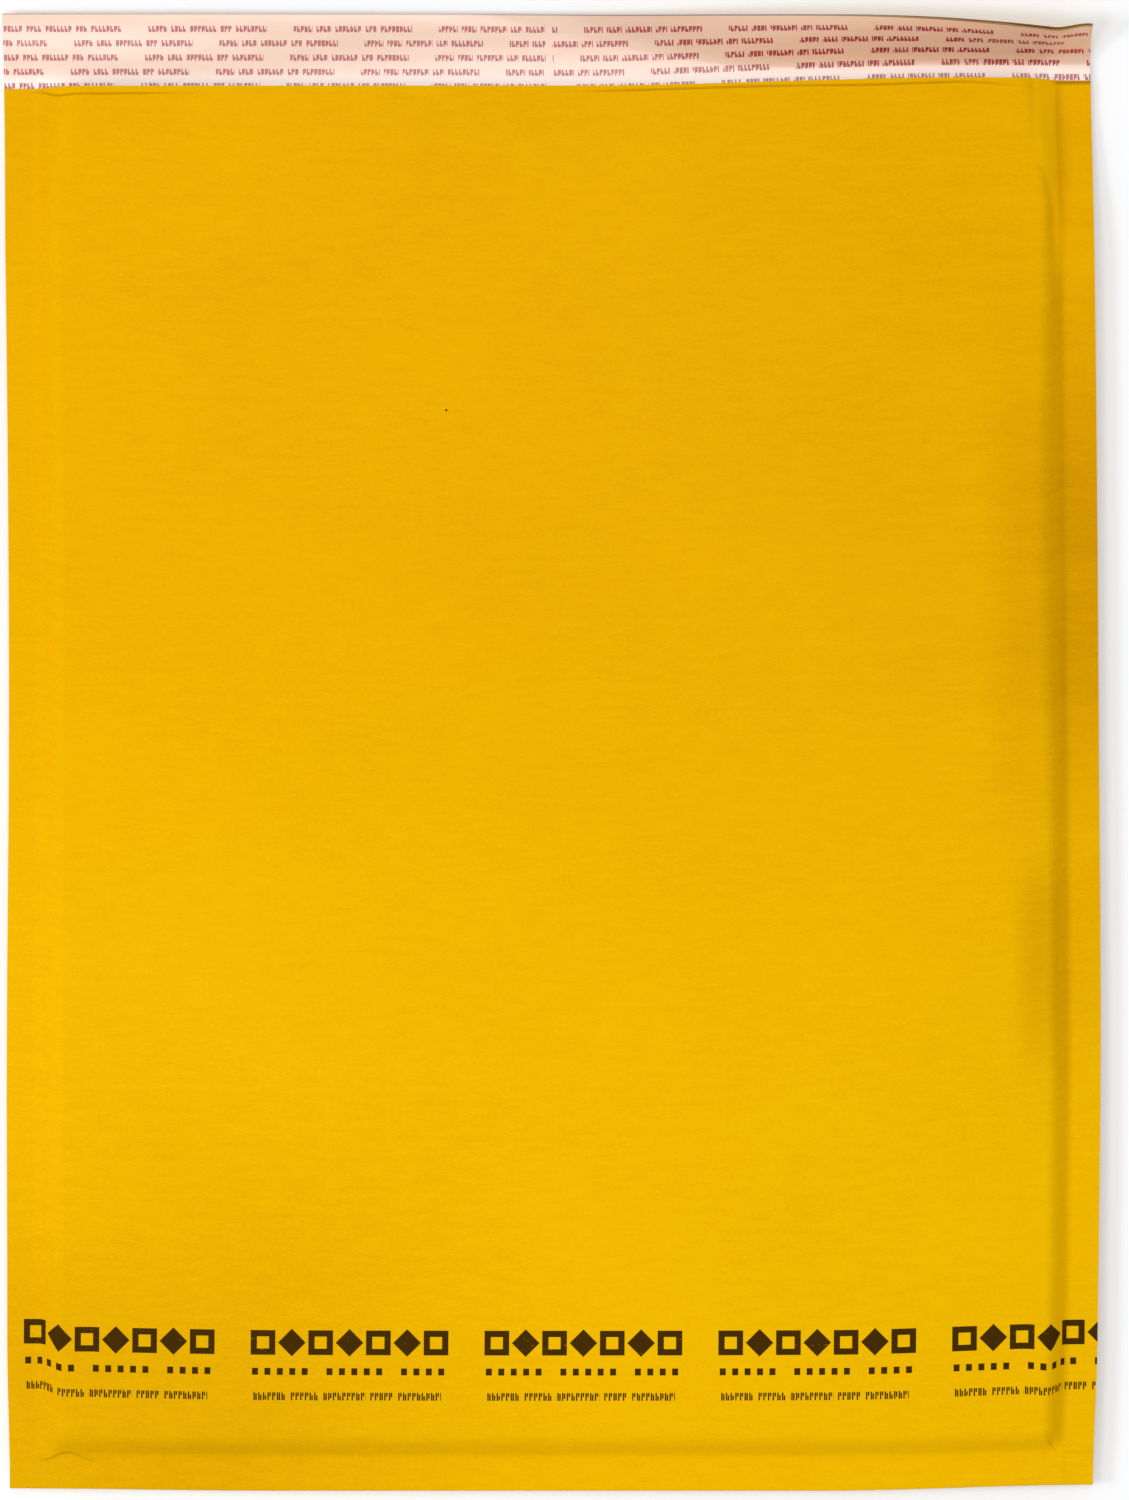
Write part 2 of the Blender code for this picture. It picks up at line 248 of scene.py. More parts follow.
# Dents and creases of the front: middle x and y, half length, half width, turn in degrees, depth
DENTS = (
    (-0.126, 0.030, 0.034, 0.012, 18.0, 0.0007),
    (-0.060, 0.085, 0.060, 0.022, -30.0, 0.0007),
    (0.055, 0.020, 0.070, 0.020, -38.0, 0.0006),
    (0.108, 0.212, 0.022, 0.006, -14.0, 0.0006),
    (0.125, 0.048, 0.045, 0.007, 2.0, 0.0005),
)
CREASES = (
    (-0.146, 0.146, 0.010, 0.0020, 14.0, 0.00022),
    (-0.144, 0.127, 0.012, 0.0022, 10.0, 0.00018),
    (0.146, 0.157, 0.018, 0.0018, -3.0, 0.00018),
    (0.142, 0.137, 0.022, 0.0020, -4.0, 0.00022),
    (0.150, 0.117, 0.014, 0.0016, -2.0, 0.00016),
    (0.138, 0.103, 0.024, 0.0020, 3.0, 0.00018),
    (0.145, 0.092, 0.020, 0.0018, -3.0, 0.00022),
    (0.147, 0.066, 0.016, 0.0020, 0.0, 0.00020),
    (0.110, 0.049, 0.038, 0.0026, 1.0, 0.00030),
    (0.140, 0.031, 0.020, 0.0020, -2.0, 0.00016),
    (0.135, -0.024, 0.024, 0.0022, 3.0, 0.00016),
    (0.130, -0.070, 0.026, 0.0022, -2.0, 0.00014),
    (0.142, -0.127, 0.018, 0.0020, 4.0, 0.00016),
    (0.148, -0.145, 0.016, 0.0018, 0.0, 0.00022),
    (0.112, 0.214, 0.016, 0.0012, -8.0, 0.00024),
    (0.085, 0.2182, 0.062, 0.0012, 0.6, 0.00022),
    (-0.143, 0.2182, 0.022, 0.0012, 0.0, 0.00020),
    (0.020, 0.100, 0.030, 0.0030, 4.0, 0.00012),
    (-0.010, 0.060, 0.040, 0.0034, -3.0, 0.00012),
    (-0.060, -0.020, 0.030, 0.0030, 6.0, 0.00012),
    (0.060, -0.040, 0.036, 0.0034, -4.0, 0.00012),
    (-0.020, -0.120, 0.040, 0.0034, 3.0, 0.00010),
)
MARGIN_CREASES = (
    (-0.1655, -0.2330, 0.0060, 0.0010, 38.0, -0.00035),
    (-0.1540, -0.2338, 0.0070, 0.0010, -32.0, -0.00030),
    (0.1676, -0.2300, 0.0060, 0.0009, 72.0, 0.00040),
    (0.1750, 0.2205, 0.0050, 0.0010, 6.0, 0.00035),
)


def smooth(t):
    """Rises from 0 to 1 as t does, level at both ends."""
    t = np.clip(t, 0.0, 1.0)
    return t * t * (3.0 - 2.0 * t)


def risen(t):
    """A slope's rise, with a crisp foot at the seal and rounding over into the face."""
    rise = FOOT_CRISPNESS * np.clip(t, 0.0, 1.0) + (1.0 - FOOT_CRISPNESS) * smooth(t)
    return 1.0 - (1.0 - rise) ** SLOPE_ROUNDING


def right_slope(y):
    """Run of the right-hand slope, which widens above the envelope's middle."""
    return RIGHT_SLOPE + SLOPE_WIDENING * np.exp(-(((y - WIDENING_CENTRE) / WIDENING_REACH) ** 2))


def mouth_spread(y):
    """How much wider both side slopes are near the mouth."""
    return MOUTH_SPREAD * smooth((y - MOUTH_Y + MOUTH_SPREAD_REACH) / MOUTH_SPREAD_REACH)


def margin_drop(y):
    """How far the side margins sink towards the mouth."""
    return MARGIN_DROP * smooth((y - MOUTH_Y + MARGIN_DROP_RUN) / MARGIN_DROP_RUN)


def fullness(x, y, inset=0.0):
    """0 in the sealed margins and 1 over the padded face."""
    left = x + HALF_WIDTH - SIDE_SEAL - inset
    right = HALF_WIDTH - SIDE_SEAL - inset - x
    bottom = y - FILM_EDGE_Y - inset
    wider = mouth_spread(y)
    across = risen(left / (LEFT_SLOPE + wider)) * risen(right / (right_slope(y) + wider))
    return across * risen(bottom / BOTTOM_SLOPE)


def hollows(x, y, shapes):
    """Depth of the soft hollows that the shapes list."""
    depth = 0.0
    for mid_x, mid_y, long, wide, turn, deep in shapes:
        turn = math.radians(turn)
        across, along = x - mid_x, y - mid_y
        run = (across * math.cos(turn) + along * math.sin(turn)) / long
        side = (along * math.cos(turn) - across * math.sin(turn)) / wide
        depth = depth + deep * np.exp(-(run * run + side * side))
    return depth


def margin_half(y):
    """Half the distance between the leaves' middles in the sealed margin."""
    step = smooth((FILM_EDGE_Y - y) / BAND_STEP)
    return SEAL_HALF + (BAND_HALF - SEAL_HALF) * step


def front_level(x, y):
    """Height of the middle of the front leaf."""
    low = margin_half(y)
    spread = smooth((y - (LINING_TOP_Y - LIP_RUN)) / LIP_RUN)
    low = low + (STRIP_STACK - 2 * SEAL_HALF) * spread
    dome = 1.0 - (x / HALF_WIDTH) ** 2
    drop = MOUTH_DROP * smooth((y - (MOUTH_Y - MOUTH_DROP_RUN)) / MOUTH_DROP_RUN)
    relief = hollows(x, y, DENTS) + hollows(x, y, CREASES)
    high = FULL_HALF + CROWN * dome - relief - drop
    full = fullness(x, y)
    level = SEAL_LEVEL + low + (high - low) * full - margin_drop(y) * (1.0 - full)
    return level - hollows(x, y, MARGIN_CREASES)


def back_level(x, y):
    """Height of the middle of the back leaf."""
    low = margin_half(y)
    full = fullness(x, y)
    return SEAL_LEVEL - low - (FULL_HALF - low) * full - margin_drop(y) * (1.0 - full)


def sideways(x, y):
    """Shift of a point across the sheet, from its bow, its swell and its drawn-in corners."""
    t = (y - BOW_CENTRE) / BOW_REACH
    bow = BOW_MIDDLE - np.where(t > 0, BOW_ABOVE, BOW_BELOW) * t * t
    swell = SWELL * np.exp(-(((y - SWELL_CENTRE) / SWELL_REACH) ** 2))
    pull = CORNER_PULL * (1.0 - smooth((y - FOLD_Y) / PULL_REACH))
    return bow + (swell - pull) * x / HALF_WIDTH


def corner_lift(x, y):
    """How far the bottom corners are drawn up."""
    outward = smooth((np.abs(x) / HALF_WIDTH - 0.5) / 0.5)
    lift = np.where(x > 0, RIGHT_CORNER_LIFT, LEFT_CORNER_LIFT)
    return lift * outward * (1.0 - smooth((y - FOLD_Y) / CORNER_REACH))


def mouth_rise(x, y):
    """How far both leaves are drawn up at the mouth, towards the right."""
    along = smooth((x - MOUTH_RISE_START) / MOUTH_RISE_RUN)
    return MOUTH_RISE * along * smooth((y - MOUTH_Y + MOUTH_RISE_REACH) / MOUTH_RISE_REACH)


def points(x, y, z):
    """Places from their three parts, each a number or an array."""
    return np.stack(np.broadcast_arrays(x, y, z), axis=-1)


def upward(x, y):
    """Shift of a point up the sheet."""
    return mouth_rise(x, y) + corner_lift(x, y)


def front_points(x, y):
    """Middle of the front leaf."""
    return points(x + sideways(x, y), y + upward(x, y), front_level(x, y))


def curl(x, s):
    """Shift of a point on the flap, s past the mouth, as its right-hand part rolls up."""
    crease = FLAP_LENGTH + (CURL_NEAR - FLAP_LENGTH) * smooth((x - CURL_START) / CURL_REACH)
    distance = np.maximum(s - crease, 0.0)
    step = distance / CURL_STEPS
    relief = smooth((x - CURL_RELIEF_START) / (HALF_WIDTH - CURL_RELIEF_START))
    full = CURL_ANGLE * np.exp((x - CURL_PLACE) / CURL_GROWTH) - CURL_RELIEF * relief
    forward = np.zeros_like(distance)
    up = np.zeros_like(distance)
    for k in range(CURL_STEPS):
        t = (k + 0.5) * step
        angle = full * (1.0 - np.exp(-t / CURL_RUN))
        forward += step * np.cos(angle)
        up += step * np.sin(angle)
    return points(0.0, forward - distance, up)


def back_points(x, s):
    """Middle of the back leaf and flap, at s past the mouth. The leaf has negative s."""
    y = MOUTH_Y + np.minimum(s, 0.0)
    leaf = points(x + sideways(x, y), y + upward(x, y), back_level(x, y))
    out = np.maximum(s, 0.0)
    share = smooth(out / FLAP_LENGTH)
    seated = back_level(x, MOUTH_Y)
    edge = SEAL_LEVEL - MARGIN_DROP - SEAL_HALF - PAPER / 2
    spread = PAPER / 2 + edge * np.abs(x / HALF_WIDTH) ** FLAP_EDGE_POWER
    wave = FLAP_WAVE * (1.0 - np.cos(2 * math.pi * x / FLAP_WAVE_PITCH)) / 2
    level = seated + (spread - seated) * share + (wave + math.tan(FLAP_TILT) * out) * share
    end = MOUTH_Y + out
    flap = points(x + sideways(x, end), end + mouth_rise(x, MOUTH_Y), level) + curl(x, out)
    return np.where(s[..., None] > 0.0, flap, leaf)


def raised(surface, x, along, height):
    """Points this far off a surface, measured square to it."""
    across = surface(x + NORMAL_STEP, along) - surface(x - NORMAL_STEP, along)
    up = surface(x, along + NORMAL_STEP) - surface(x, along - NORMAL_STEP)
    normal = np.cross(across, up)
    normal /= np.linalg.norm(normal, axis=-1, keepdims=True)
    return surface(x, along) + normal * np.asarray(height)[..., None]


def fold_points(x, turn):
    """Round the bottom fold, from a quarter turn above its middle to one below it."""
    y = FOLD_Y + BAND_HALF
    out = BAND_HALF * math.cos(turn)
    level = SEAL_LEVEL + BAND_HALF * math.sin(turn)
    return points(x + sideways(x, y), y + upward(x, y) - out, level)


def spaced(marks, steps):
    """The marks, with each stretch between two of them cut to about its step."""
    places = [marks[0]]
    for start, end, step in zip(marks, marks[1:], steps):
        count = max(1, round(abs(end - start) / step))
        places += [start + (end - start) * (k + 1) / count for k in range(count)]
    return np.array(places)


def columns():
    """Places across the sheets, closest together on the slopes."""
    left = -HALF_WIDTH + SIDE_SEAL
    right = HALF_WIDTH - SIDE_SEAL
    marks = [-HALF_WIDTH, left, left + LEFT_SLOPE, right - CREASED_SIDE, right - STEEP_SIDE]
    return spaced(marks + [right, HALF_WIDTH], COLUMN_STEPS)


def leaf_rows(step):
    """Places along a leaf, from the start of the bottom fold to the mouth."""
    slope_top = FILM_EDGE_Y + BOTTOM_SLOPE
    marks = [FOLD_Y + BAND_HALF, FILM_EDGE_Y - BAND_STEP, FILM_EDGE_Y, slope_top]
    marks += [MOUTH_Y - MOUTH_SIDE, MOUTH_Y]
    return spaced(marks, [FOLD_ROW_STEP, SLOPE_ROW_STEP, SLOPE_ROW_STEP, step, MOUTH_ROW_STEP])


def deselect():
    """Leaves no object selected."""
    for obj in bpy.context.selected_objects:
        obj.select_set(False)


def grid_sheet(name, x, places, thickness, level_row):
    """A sheet folded from a flat grid, with its flat lengths as its UV map, in metres.

    The length along it is 0 at the level row and grows towards the first row.
    """
    rows, count = places.shape[0], places.shape[1]
    deselect()
    bpy.ops.mesh.primitive_grid_add(x_subdivisions=count - 1, y_subdivisions=rows - 1, size=1.0)
    obj = bpy.context.object
    obj.name = name
    obj.data.name = name
    obj.data.vertices.foreach_set("co", places.reshape(-1))
    middle = int(np.argmin(np.abs(x)))
    gaps = np.linalg.norm(np.diff(places, axis=1), axis=2)
    across = np.concatenate([np.zeros((rows, 1)), np.cumsum(gaps, axis=1)], axis=1)
    across += x[middle] - across[:, middle:middle + 1]
    gaps = np.linalg.norm(np.diff(places, axis=0), axis=2)
    along = np.concatenate([np.zeros((1, count)), np.cumsum(gaps, axis=0)], axis=0)
    along = along[level_row] - along
    flat = np.stack([across, along], axis=-1).reshape(-1, 2)
    loops = np.empty(len(obj.data.loops), dtype=np.int32)
    obj.data.loops.foreach_get("vertex_index", loops)
    obj.data.uv_layers[0].uv.foreach_set("vector", flat[loops].reshape(-1))
    obj.data.update()
    solid = obj.modifiers.new("thickness", "SOLIDIFY")
    solid.thickness = thickness
    solid.offset = 0.0
    solid.use_even_offset = True
    bpy.ops.object.modifier_apply(modifier=solid.name)
    bpy.ops.object.shade_smooth_by_angle(angle=math.radians(40.0))
    return obj


class Wire:
    """A shader socket that Python expressions add, multiply and compare."""

    def __init__(self, tree, socket=None):
        self.tree = tree
        self.socket = socket

    def node(self, kind, settings=None, values=None, output=0):
        """Any node: its settings first, then the values or links of its sockets."""
        made = self.tree.nodes.new(kind)
        for name, value in (settings or {}).items():
            if name == "stops":
                while len(made.color_ramp.elements) < len(value):
                    made.color_ramp.elements.new(0.5)
                for element, (place, colour) in zip(made.color_ramp.elements, value):
                    element.position = place
                    element.color = colour
            else:
                setattr(made, name, value)
        for name, value in (values or {}).items():
            if isinstance(value, Wire):
                self.tree.links.new(value.socket, made.inputs[name])
            else:
                made.inputs[name].default_value = value
        return Wire(self.tree, made.outputs[output])

    def math(self, operation, *values):
        return self.node("ShaderNodeMath", {"operation": operation}, dict(enumerate(values)))

    def __add__(self, other):
        return self.math("ADD", self, other)

    def __radd__(self, other):
        return self.math("ADD", other, self)

    def __sub__(self, other):
        return self.math("SUBTRACT", self, other)

    def __rsub__(self, other):
        return self.math("SUBTRACT", other, self)

    def __mul__(self, other):
        return self.math("MULTIPLY", self, other)

    def __rmul__(self, other):
        return self.math("MULTIPLY", other, self)

    def __truediv__(self, other):
        return self.math("DIVIDE", self, other)

    def __mod__(self, other):
        return self.math("FLOORED_MODULO", self, other)

    def __lt__(self, other):
        return self.math("LESS_THAN", self, other)

    def __gt__(self, other):
        return self.math("GREATER_THAN", self, other)

    def __abs__(self):
        return self.math("ABSOLUTE", self)

    def output(self, name):
        """Another output of the node that this socket belongs to."""
        return Wire(self.tree, self.socket.node.outputs[name])

    def floor(self):
        return self.math("FLOOR", self)

    def largest(self, other):
        return self.math("MAXIMUM", self, other)

    def within(self, low, high):
        """1 where the value is between low and high, else 0."""
        return (self > low) * (self < high)

    def ramp(self, low, high):
        """Rises smoothly from 0 at low to 1 at high."""
        settings = {"interpolation_type": "SMOOTHSTEP"}
        values = {"Value": self, "From Min": low, "From Max": high}
        return self.node("ShaderNodeMapRange", settings, values)

    def chance(self, seed):
        """A random value from 0 to 1 for each whole number."""
        settings = {"noise_dimensions": "1D"}
        return self.node("ShaderNodeTexWhiteNoise", settings, {"W": self + seed})

    def coloured(self, stops):
        """A colour that runs through the stops as the value rises."""
        return self.node("ShaderNodeValToRGB", {"stops": stops}, {"Fac": self})

    def mixed(self, other, factor):
        """This colour, mixed with another by a factor."""
        values = {0: factor, 6: self, 7: other}
        return self.node("ShaderNodeMix", {"data_type": "RGBA"}, values, output=2)

    def noise(self, vector, scale, detail=2.0, roughness=0.5):
        values = {"Vector": vector, "Scale": scale, "Detail": detail, "Roughness": roughness}
        return self.node("ShaderNodeTexNoise", None, values)

    def bump(self, depth):
        """A surface's normals, turned by this height times the depth."""
        values = {"Height": self, "Distance": depth, "Strength": 1.0}
        return self.node("ShaderNodeBump", None, values)


def material(name, roughness, specular):
    """A new material: its shader, and a wire to build its fields from."""
    made = bpy.data.materials.new(name)
    made.use_nodes = True
    shader = made.node_tree.nodes["Principled BSDF"]
    shader.inputs["Roughness"].default_value = roughness
    shader.inputs["Specular IOR Level"].default_value = specular
    return made, shader, Wire(made.node_tree)


def connect(wire, shader, name):
    """Links a wire to a node's input."""
    wire.tree.links.new(wire.socket, shader.inputs[name])


def toned(colour, step):
    """The colour, or its deep tone at step -1 and its pale one at step 1."""
    red, green = (min(1.0, c * share) for c, share in zip(colour, TONE_SHARES[step + 1]))
    return red, green, colour[2], 1.0


def flat_lengths(wire):
    """The sheet's own UV map: lengths across it and along it, in metres.

    On the paper the length along is 0 in the middle of the bottom fold and grows up the front.
    """
    uv = wire.node("ShaderNodeUVMap", {"uv_map": "UVMap"})
    across = wire.node("ShaderNodeSeparateXYZ", None, {"Vector": uv})
    return uv, across, across.output("Y")


def stretched(wire, uv, across, along):
    """The flat lengths, scaled to draw a pattern out one way."""
    values = {"Vector": uv, "Scale": (across, along, 1.0)}
    return wire.node("ShaderNodeMapping", None, values)


def ticks(u, v, pitch, height, seed):
    """A row of short upright strokes in uneven lengths, two to a place. v is 0 at its foot."""
    place = u / pitch
    number = place.floor()
    part = place - number
    half = STROKE / pitch / 2
    first = (abs(part - FIRST_STROKE) < half) * v.within(0.0, height)
    low = number.chance(seed + 0.37).ramp(0.45, 0.55) * (height * 0.5)
    high = low + height * 0.5 + number.chance(seed) * (height * 0.5)
    second = (abs(part - SECOND_STROKE) < half) * ((v > low) * (v < high) * (v < height))
    return first.largest(second)


def words(u, spans):
    """1 inside the spans, each a start and an end."""
    inside = None
    for start, end in spans:
        one = u.within(start, end)
        inside = one if inside is None else inside + one
    return inside


def printed_groups(u, v):
    """Groups of plain squares, diamonds, dots and bars along the foot of the front."""
    local = (u + GROUP_START) % GROUP_PITCH
    v = v + u.ramp(0.156, 0.170) * GROUP_SINK
    step = GROUP_LENGTH / GROUP_SHAPES
    number = (local / step).floor()
    across = abs(local - (number + 0.5) * step)
    up = abs(v - GROUP_FOOT - GROUP_HEIGHT / 2)
    edge = across.largest(up)
    square = (edge < SQUARE_HALF) * (edge > SQUARE_HOLE)
    diamond = (across + up) < DIAMOND_HALF
    odd = number % 2.0
    shapes = (odd * diamond + (1.0 - odd) * square) * (local < GROUP_LENGTH)
    dot = (local - DOT_START) % DOT_PITCH
    dots = dot.within(0.0, DOT_WIDTH) * v.within(DOT_FOOT, DOT_HEAD) * words(local, DOT_SPANS)
    bars = ticks(local, v - BAR_FOOT, BAR_PITCH, BAR_HEIGHT, 9.0) * words(local, BAR_SPANS)
    return shapes.largest(dots).largest(bars)


# Painted shade and light, and marks of the paper: each ramp runs from the flat length where a
# tone begins to the one where it is full
def painted_shade_and_light(u, v):
    """Darker and paler stretches of the front, painted shade and light: shade along the right-hand
    seal and at the lower left, light on the seal by the mouth.
    """
    # Painted shade: the lower left darker, for the light's falloff there
    corner = v.ramp(0.185, 0.010) * u.ramp(0.030, -0.120) * 0.28
    # Painted shade in the shallow valleys along the right-hand seal
    long = v.ramp(0.205, 0.275) * v.ramp(0.415, 0.320)
    long = long * (u.ramp(0.138, 0.156) * 0.20 + u.ramp(0.168, 0.172) * 0.18)
    short = v.ramp(0.130, 0.165) * v.ramp(0.225, 0.190)
    short = short * u.ramp(0.150, 0.160) * (1.0 - u.ramp(0.166, 0.170) * 0.6) * 0.26
    # Painted light: the foot of the right-hand slope by the mouth made paler
    foot = (u + v.ramp(0.425, 0.450) * 0.0065).ramp(0.1665, 0.1700) * u.ramp(0.1738, 0.1705)
    return foot * v.ramp(0.395, 0.422) * 0.52 - long - short - corner


def mouth_line(u, v):
    """1 along the fine crease just below the mouth's edge."""
    right = u.ramp(0.0, 0.095) * 0.0020 - u.ramp(0.135, 0.172) * 0.0033 + 0.4679
    left = (u + 0.18) * 0.030 + 0.4653
    right = abs(v - right).ramp(0.0005, 0.0) * u.ramp(0.0, 0.030) * u.ramp(0.172, 0.130)
    return right + abs(v - left).ramp(0.0005, 0.0) * u.ramp(-0.180, -0.165) * u.ramp(-0.108, -0.140)


def painted_edge_shade(u, v):
    """Painted shade along the flap's free edge and in the right-hand corner of the mouth."""
    free_edge = u.ramp(0.150, 0.170) * 0.0025 - u.ramp(0.0, 0.095) * 0.0035 - 0.4931
    corner = u.ramp(0.1690, 0.1760) * v.ramp(0.4666, 0.4676) * 0.45
    return ((v < free_edge) * 0.75).largest(corner)


def corner_marks(u, v):
    """Height of the creases in the bottom corners of the front, in depths of the grain."""
    level = (abs(v - 0.0110) < 0.0003) * (u > 0.1702)
    upright = (abs(u - 0.1708) < 0.0003) * v.within(0.0015, 0.0110)
    turn = (u + 0.1696) * (2 * math.pi / 0.017)
    wave = 0.0117 - turn.math("COSINE", turn) * 0.0014
    ridge = abs(v - wave).ramp(0.0014, 0.0) * u.within(-0.1700, -0.1526)
    slant = abs(u - 0.1682 + (v - 0.0117) * 0.47).ramp(0.0013, 0.0)
    slant = slant * v.ramp(0.0105, 0.0125) * v.ramp(0.0210, 0.0170)
    return ridge * 5.0 - slant * 4.0 - level.largest(upright) * 3.0


def paper_material():
    """Golden paper with its grain, its tones, its painted shade and light, its print and its fine
    creases.
    """
    made, shader, wire = material("golden_paper", 0.62, 0.01)
    settings = bpy.context.scene.envelope_paper
    uv, u, v = flat_lengths(wire)
    front = v > 0.0
    # Mask of the fine crease below the mouth: a bump, and painted shade in the colour
    line = mouth_line(u, v)
    fibre = wire.noise(stretched(wire, uv, 700.0, 1500.0), 1.0, 3.0, 0.6)
    streak = wire.noise(stretched(wire, uv, 90.0, 420.0), 1.0, 3.0, 0.55)
    cloud = wire.noise(stretched(wire, uv, 14.0, 18.0), 1.0, 2.0)
    folds = wire.noise(stretched(wire, uv, 9.0, 110.0), 1.0, 2.0)
    shade = (fibre - 0.5) * FIBRE_TONE + (streak - 0.5) * STREAK_TONE + (cloud - 0.5) * CLOUD_TONE
    # Painted shade of small folds: darker and paler streaks, strongest by the right-hand seal
    folds = (folds - 0.5) * (u.ramp(0.090, 0.150) * v.ramp(0.190, 0.260) * 0.18 + 0.06)
    # The grain's tones plus painted shade and light: the seal's stretches, the folds' streaks and
    # the crease below the mouth
    grain_with_painted_shade_and_light = shade + painted_shade_and_light(u, v) * front + folds * front - line * CREASE_SHADE
    tones = []
    for colour in (settings.colour, settings.deep):
        stops = [(k / 2, toned(colour, k - 1)) for k in range(3)]
        tones.append((grain_with_painted_shade_and_light + 0.5).coloured(stops))
    # Painted shade: the front darker towards its upper half, in the deeper colour
    base = tones[0].mixed(tones[1], v.ramp(0.08, 0.36))
    ink_wear = (fibre * 0.6 + streak * 0.4).ramp(0.60, 0.72) * 0.55
    ink = printed_groups(u, v) * front * (1.0 - ink_wear)
    fleck = (abs(u + 0.035) + abs(v - 0.362)) < 0.0005
    # Print, and painted shade at the flap's free edge and in the mouth's corner, both in the ink
    # colour
    ink_and_painted_shade = ink.largest(fleck * front).largest(painted_edge_shade(u, v))
    connect(base.mixed(tuple(settings.ink), ink_and_painted_shade), shader, "Base Color")
    grain = (fibre - 0.5) * 0.6 + (streak - 0.5) * 0.5
    across, along = u * CELL_TURNS, v * CELL_TURNS
    cells = across.math("SINE", across) * along.math("SINE", along)
    cells = cells * (cloud.ramp(0.50, 0.66) * front) * 0.5
    marks = corner_marks(u, v) - line * 4.0
    connect((grain + cells + marks * front).bump(settings.grain_depth), shader, "Normal")
    return made


def liner_material():
    """Printed release paper, with painted light that makes it paler at the mouth and warmer where
    the flap curls up, and painted shade along its free edge.
    """
    made, shader, wire = material("release_paper", 0.34, 0.6)
    settings = bpy.context.scene.envelope_liner
    uv, u, v = flat_lengths(wire)
    shader.inputs["Coat Roughness"].default_value = 0.28
    shader.inputs["Coat IOR"].default_value = 2.0
    cloud = wire.noise(stretched(wire, uv, 60.0, 160.0), 1.0, 3.0)
    base = cloud.coloured(((0.3, tuple(settings.colour)), (0.75, tuple(settings.pale))))
    # Painted light: the liner warmer and paler where the flap curls up
    base = base.mixed(tuple(settings.painted_light_on_curl), u.ramp(0.0, 0.10) * u.ramp(0.180, 0.150))
    # Painted light: the liner paler beside the mouth
    base = base.mixed(tuple(settings.painted_light_at_mouth), v.ramp(0.0185, 0.0250))
    row = (v - ROW_START) / ROW_PITCH
    number = row.floor()
    foot = (row - number) * ROW_PITCH - ROW_FOOT
    shifted = u + PRINT_START + (number % 2.0) * ROW_SHIFT + number * ROW_DRIFT
    phrase = shifted / PHRASE
    local = (phrase - phrase.floor()) * PHRASE
    marks = ticks(shifted, foot, TICK_PITCH, TICK_HEIGHT, 5.0) * words(local, PHRASE_SPANS)
    bare = abs(u - BARE_PLACE) > BARE_HALF
    ink = marks * bare * (v > PRINT_FOOT) * (1.0 - cloud.ramp(0.55, 0.8) * 0.2)
    whole = ((PHRASE_SPANS[0][0], PHRASE_SPANS[-1][1]),)
    halo = words(local, whole) * foot.within(-0.0004, 0.0025) * 0.25
    base = base.mixed(tuple(settings.halo), halo * (v > PRINT_FOOT))
    base = base.mixed(tuple(settings.ink), ink)
    # Painted shade: the liner darker along its free edge
    connect(base.mixed(tuple(settings.cut), v < 0.0004), shader, "Base Color")
    connect(1.0 - ink * 0.6, shader, "Coat Weight")
    ripple = wire.noise(stretched(wire, uv, 40.0, 300.0), 1.0, 2.0)
    connect(ripple.bump(0.00012), shader, "Normal")
    return made


def film_material():
    """Clear film with a faint haze."""
    made, shader, wire = material("clear_film", 0.16, 0.5)
    haze = wire.noise(wire.node("ShaderNodeTexCoord", output=3), 180.0, 3.0)
    base = haze.coloured(((0.2, (0.70, 0.73, 0.74, 1.0)), (0.8, (0.90, 0.92, 0.93, 1.0))))
    connect(base, shader, "Base Color")
    connect(haze * 0.2 + 0.08, shader, "Roughness")
    shader.inputs["Transmission Weight"].default_value = 0.75
    shader.inputs["IOR"].default_value = 1.2
    return made


def adhesive_material():
    """Clear glue, drawn out along the flap."""
    made, shader, wire = material("clear_adhesive", 0.22, 0.5)
    uv = flat_lengths(wire)[0]
    flow = wire.noise(stretched(wire, uv, 300.0, 40.0), 1.0, 3.0)
    base = flow.coloured(((0.3, (0.70, 0.62, 0.42, 1.0)), (0.7, (0.82, 0.76, 0.60, 1.0))))
    connect(base, shader, "Base Color")
    connect(flow.bump(0.0001), shader, "Normal")
    return made


class EnvelopePaper(bpy.types.PropertyGroup):
    colour: bpy.props.FloatVectorProperty(
        name="Colour",
        description="Colour of the outer paper",
        subtype="COLOR",
        size=4,
        min=0.0,
        max=1.0,
        default=(0.90, 0.498, 0.0001, 1.0),
    )
    # Painted shade: the darker colour of the front's upper half
    deep: bpy.props.FloatVectorProperty(
        name="Deeper colour",
        description="Colour of the outer paper in its upper half",
        subtype="COLOR",
        size=4,
        min=0.0,
        max=1.0,
        default=(0.845, 0.428, 0.0001, 1.0),
    )
    # Also the colour of the painted shade at the flap's free edge and in the mouth's corner
    ink: bpy.props.FloatVectorProperty(
        name="Ink",
        description="Colour of what is printed on the outer paper",
        subtype="COLOR",
        size=4,
        min=0.0,
        max=1.0,
        default=(0.058, 0.026, 0.0015, 1.0),
    )
    grain_depth: bpy.props.FloatProperty(
        name="Grain depth",
        description="Depth of the paper's grain",
        subtype="DISTANCE",
        unit="LENGTH",
        min=0.0,
        default=0.00009,
    )


